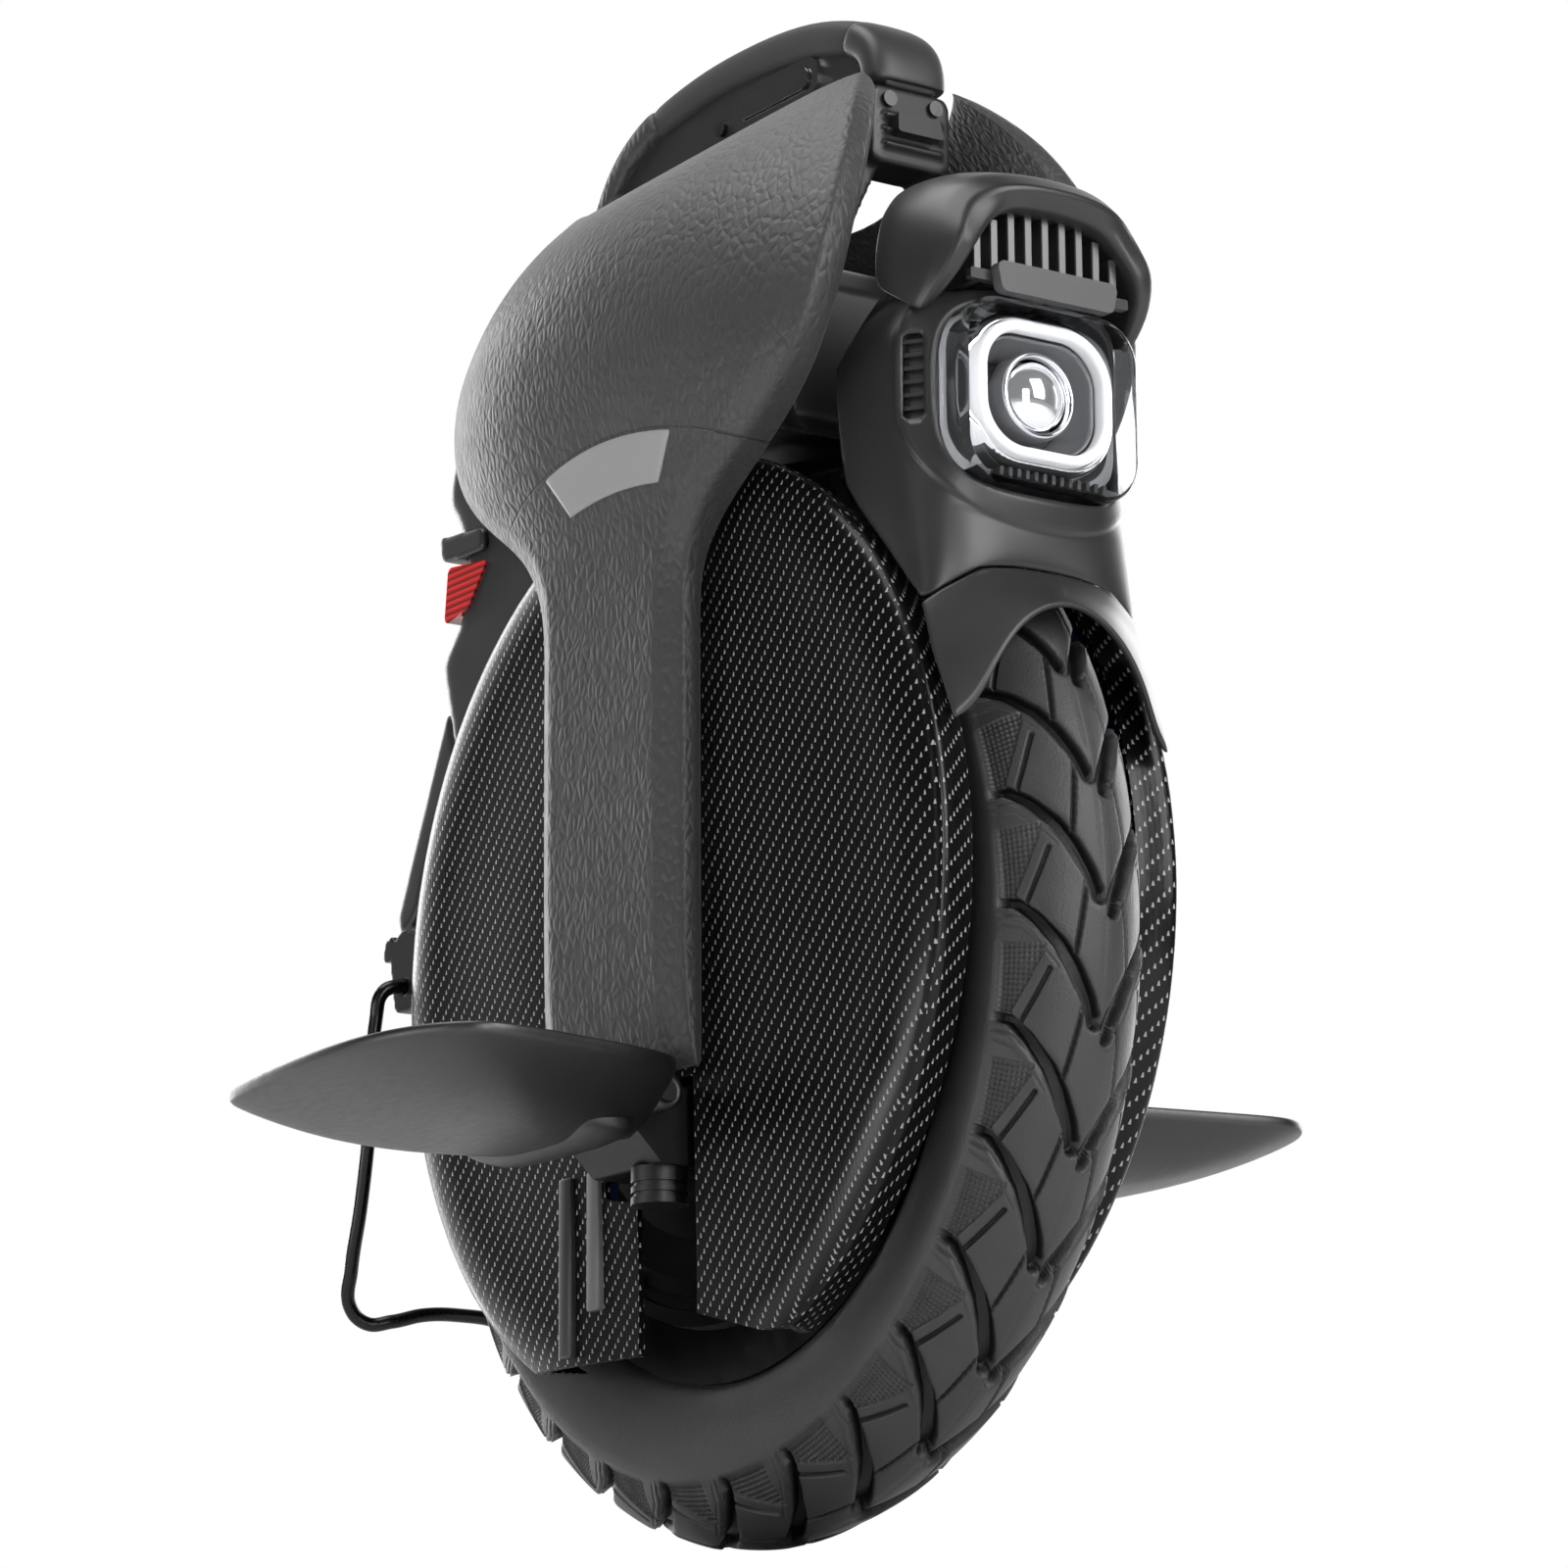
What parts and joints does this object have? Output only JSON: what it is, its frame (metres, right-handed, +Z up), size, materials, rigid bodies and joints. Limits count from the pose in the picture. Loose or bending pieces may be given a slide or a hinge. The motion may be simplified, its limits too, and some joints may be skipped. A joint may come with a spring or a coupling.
{
  "type": "electric unicycle",
  "caption": "Self-balancing electric unicycle: a fat tyre and hub motor between round woven-look shells, with knee pads, handle, hooded headlight, folding pedals and wire stand.",
  "frame": {"origin": "point on the floor under the wheel axle", "axes": "+X forwards, the way the headlight shines; +Y to the rider's left, along the axle; +Z up"},
  "size_m": [0.4575, 0.4288, 0.608],
  "materials": {
    "badge_grey": "satin",
    "body_plastic": "satin",
    "bolt_steel": "satin",
    "button_plastic": "glossy",
    "cast_metal": "black anodised",
    "cell_pack": "shrink wrap",
    "circuit": "solder mask",
    "copper": "satin",
    "display_glass": "glossy",
    "frame_metal": "powder coat",
    "grained_pad": "leather grain",
    "grip_rubber": "soft",
    "handle_plastic": "satin",
    "lamination": "satin",
    "lamp_chrome": "polished",
    "lens_glass": "clear",
    "magnet": "plated",
    "pedal_metal": "black satin",
    "plate_metal": "satin",
    "sink_metal": "black anodised",
    "stand_steel": "black satin",
    "tail_red": "translucent",
    "tread_sheet": "abrasive",
    "tyre_rubber": "satin",
    "valve_rubber": "matte",
    "woven_shell": "satin weave"
  },
  "bodies": {
    "chassis": {"axle": "bolt_steel", "axle_nuts": "bolt_steel", "badges": "badge_grey", "battery_left": "cell_pack", "battery_right": "cell_pack", "body_screws": "bolt_steel", "body_shell": "body_plastic", "bracket_clip": "body_plastic", "button_ring": "body_plastic", "charge_port": "body_plastic", "chin_strip": "body_plastic", "control_board": "circuit", "display": "display_glass", "front_bracket": "body_plastic", "front_fender": "body_plastic", "handle_frame": "body_plastic", "handle_front_cap": "handle_plastic", "handle_grip": "grip_rubber", "handle_root_cover": "handle_plastic", "heat_sink": "sink_metal", "hood": "body_plastic", "lamp_cover": "lens_glass", "lamp_housing": "body_plastic", "lamp_reflector": "lamp_chrome", "lens_bezel": "lamp_chrome", "lift_ring": "lamp_chrome", "name_plate": "plate_metal", "nose_shell": "body_plastic", "pad_left": "grained_pad", "pad_right": "grained_pad", "pedal_pins": "bolt_steel", "plate_bar": "body_plastic", "projector_lens": "lens_glass", "rear_mudguard": "body_plastic", "side_cover_left": "woven_shell", "side_cover_right": "woven_shell", "side_frame_left": "frame_metal", "side_frame_right": "frame_metal", "side_vents": "body_plastic", "stand_bracket": "frame_metal", "stator": "lamination", "stator_coils": "copper", "tail_hood": "body_plastic", "tail_lamp": "tail_red"},
    "wheel": {"tyre": "tyre_rubber", "rim": "cast_metal", "motor_cover_left": "cast_metal", "motor_cover_right": "cast_metal", "rotor_magnets": "magnet", "cover_bolts": "bolt_steel", "valve_stem": "valve_rubber", "wheel_bearings": "bolt_steel"},
    "pedal_arm_right": {"pedal_right": "pedal_metal", "pedal_grip_right": "tread_sheet"},
    "pedal_arm_left": {"pedal_left": "pedal_metal", "pedal_grip_left": "tread_sheet"},
    "stand": {"stand_wire": "stand_steel"},
    "power_key": {"power_button": "button_plastic"},
    "lift_key": {"lift_button": "button_plastic"},
    "charge_flap": {"charge_cap": "grip_rubber"}
  },
  "joints": [
    {"name": "wheel_spin", "type": "hinge", "parent": "chassis", "child": "wheel", "pos_m": [0, 0, 0.215], "axis": [0, 1, 0], "continuous": true},
    {"name": "pedal_fold_right", "type": "hinge", "parent": "chassis", "child": "pedal_arm_right", "pos_m": [0, -0.08, 0.164], "axis": [-1, 0, 0], "range_deg": [0, 75]},
    {"name": "pedal_fold_left", "type": "hinge", "parent": "chassis", "child": "pedal_arm_left", "pos_m": [0, 0.08, 0.164], "axis": [1, 0, 0], "range_deg": [0, 75]},
    {"name": "stand_swing", "type": "hinge", "parent": "chassis", "child": "stand", "pos_m": [-0.204, 0, 0.25], "axis": [0, 1, 0], "range_deg": [0, 65]},
    {"name": "power_press", "type": "slide", "parent": "chassis", "child": "power_key", "axis": [0, 0, -1], "range_m": [0, 0.0012], "stiffness_N_per_m": 600},
    {"name": "lift_press", "type": "slide", "parent": "chassis", "child": "lift_key", "axis": [0, 1, 0], "range_m": [0, 0.0009], "stiffness_N_per_m": 600},
    {"name": "charge_flap_swing", "type": "hinge", "parent": "chassis", "child": "charge_flap", "pos_m": [-0.15, 0.0426, 0.467], "axis": [1, 0, 0], "range_deg": [0, 110]}
  ]
}
